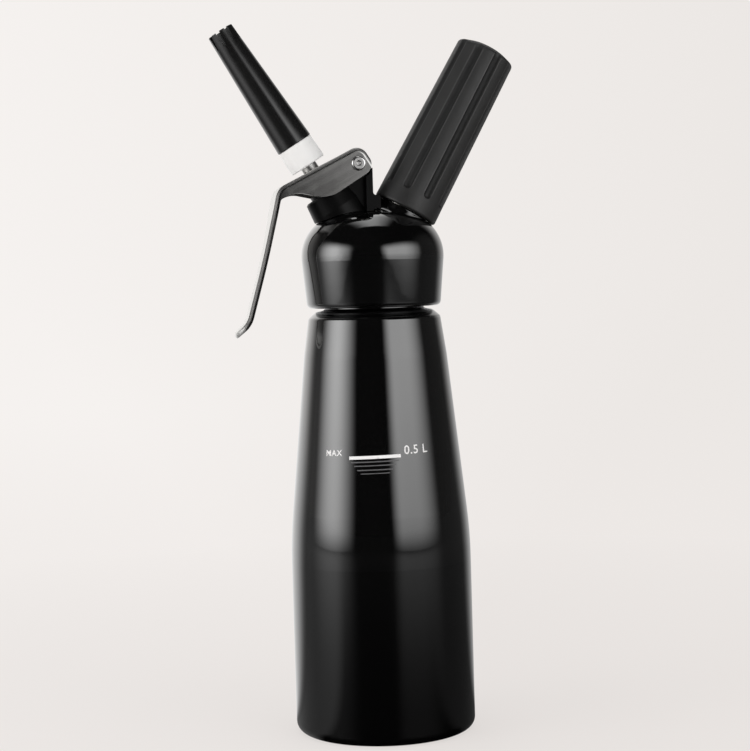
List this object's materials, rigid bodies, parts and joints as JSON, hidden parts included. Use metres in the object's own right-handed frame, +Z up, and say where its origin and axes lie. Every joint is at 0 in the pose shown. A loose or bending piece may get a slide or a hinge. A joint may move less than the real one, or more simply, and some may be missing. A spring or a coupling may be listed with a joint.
{
  "type": "whipped cream dispenser",
  "caption": "Tapered black metal bottle with a domed screw head, a lever valve with a piping nozzle on one side and a grooved gas charger holder on the other.",
  "frame": {"origin": "centre of the bottle's foot, on the ground", "axes": "+Z up along the bottle's axis, +X towards the charger holder, -X towards the nozzle and lever, -Y towards the viewer of the fill mark"},
  "size_m": [0.1317, 0.0786, 0.3085],
  "materials": {
    "bottle_lacquer": "high gloss black lacquer on aluminium",
    "head_lacquer": "high gloss black lacquer on cast aluminium",
    "silicone": "matt translucent silicone",
    "black_rubber": "matt black rubber",
    "valve_steel": "finely turned stainless steel",
    "spring_steel": "drawn stainless spring wire",
    "gland_plastic": "satin black plastic",
    "bracket_plastic": "satin moulded black plastic",
    "lever_steel": "satin brushed stainless sheet",
    "rivet_steel": "bright pressed rivet heads",
    "washer_plastic": "plain nylon",
    "white_plastic": "smooth white plastic",
    "nozzle_plastic": "smooth glossy black plastic",
    "port_metal": "nickel plated and turned",
    "pin_brass": "turned brass",
    "charger_steel": "zinc plated drawn steel",
    "holder_plastic": "fine grained matt black plastic"
  },
  "bodies": {
    "bottle_body": {"bottle": "bottle_lacquer"},
    "gasket_body": {"head_gasket": "silicone"},
    "head_body": {"head": "head_lacquer", "lever_bracket": "bracket_plastic", "gland_nut": "gland_plastic", "lever_pin": "rivet_steel", "lever_washers": "washer_plastic", "valve_spring": "spring_steel", "charger_port": "port_metal", "port_o_ring": "black_rubber", "pin_holder": "pin_brass", "piercing_pin": "valve_steel", "charger_seal": "black_rubber", "check_valve_sleeve": "black_rubber"},
    "lever_body": {"lever": "lever_steel"},
    "piston_body": {"valve_piston": "valve_steel", "valve_seal": "black_rubber", "seal_nut": "valve_steel", "piston_o_rings": "black_rubber", "press_collar": "valve_steel", "nozzle_adapter": "white_plastic"},
    "nozzle_seal_body": {"nozzle_seal": "silicone"},
    "nozzle_body": {"decorating_nozzle": "nozzle_plastic"},
    "charger_body": {"gas_charger": "charger_steel"},
    "holder_body": {"charger_holder": "holder_plastic", "holder_insert": "port_metal", "holder_pad": "black_rubber"}
  },
  "joints": [
    {"name": "head_lift", "type": "slide", "parent": "bottle_body", "child": "gasket_body", "axis": [0, 0, 1], "range_m": [0, 0.0121]},
    {"name": "head_screw", "type": "hinge", "parent": "gasket_body", "child": "head_body", "pos_m": [0, 0, 0.2], "axis": [0, 0, 1], "range_deg": [0, 1440]},
    {"name": "lever_swing", "type": "hinge", "parent": "head_body", "child": "lever_body", "pos_m": [-0.00659, 0, 0.24721], "axis": [0, -1, 0], "range_deg": [0, 11], "stiffness_Nm_per_rad": 0.3, "springref_deg": -11.46},
    {"name": "piston_stroke", "type": "slide", "parent": "head_body", "child": "piston_body", "axis": [0.5299, 0, -0.848], "range_m": [0, 0.0038], "deforming": ["valve_spring"]},
    {"name": "nozzle_lift", "type": "slide", "parent": "piston_body", "child": "nozzle_seal_body", "axis": [-0.5299, 0, 0.848], "range_m": [0, 0.0076]},
    {"name": "nozzle_screw", "type": "hinge", "parent": "nozzle_seal_body", "child": "nozzle_body", "pos_m": [-0.03656, 0, 0.26292], "axis": [-0.5299, 0, 0.848], "range_deg": [0, 1800]},
    {"name": "charger_slide", "type": "slide", "parent": "head_body", "child": "charger_body", "axis": [0.4879, 0, 0.8729], "range_m": [0, 0.0101]},
    {"name": "holder_screw", "type": "hinge", "parent": "charger_body", "child": "holder_body", "pos_m": [0.01708, 0, 0.23115], "axis": [0.4879, 0, 0.8729], "range_deg": [0, 1440]}
  ],
  "couplings": [
    {"joint": "head_lift", "follows": "head_screw", "m_per_rad": 0.00047746},
    {"joint": "piston_stroke", "follows": "lever_swing", "m_per_rad": 0.0194},
    {"joint": "nozzle_lift", "follows": "nozzle_screw", "m_per_rad": 0.00023873},
    {"joint": "charger_slide", "follows": "holder_screw", "m_per_rad": 0.00039789}
  ]
}
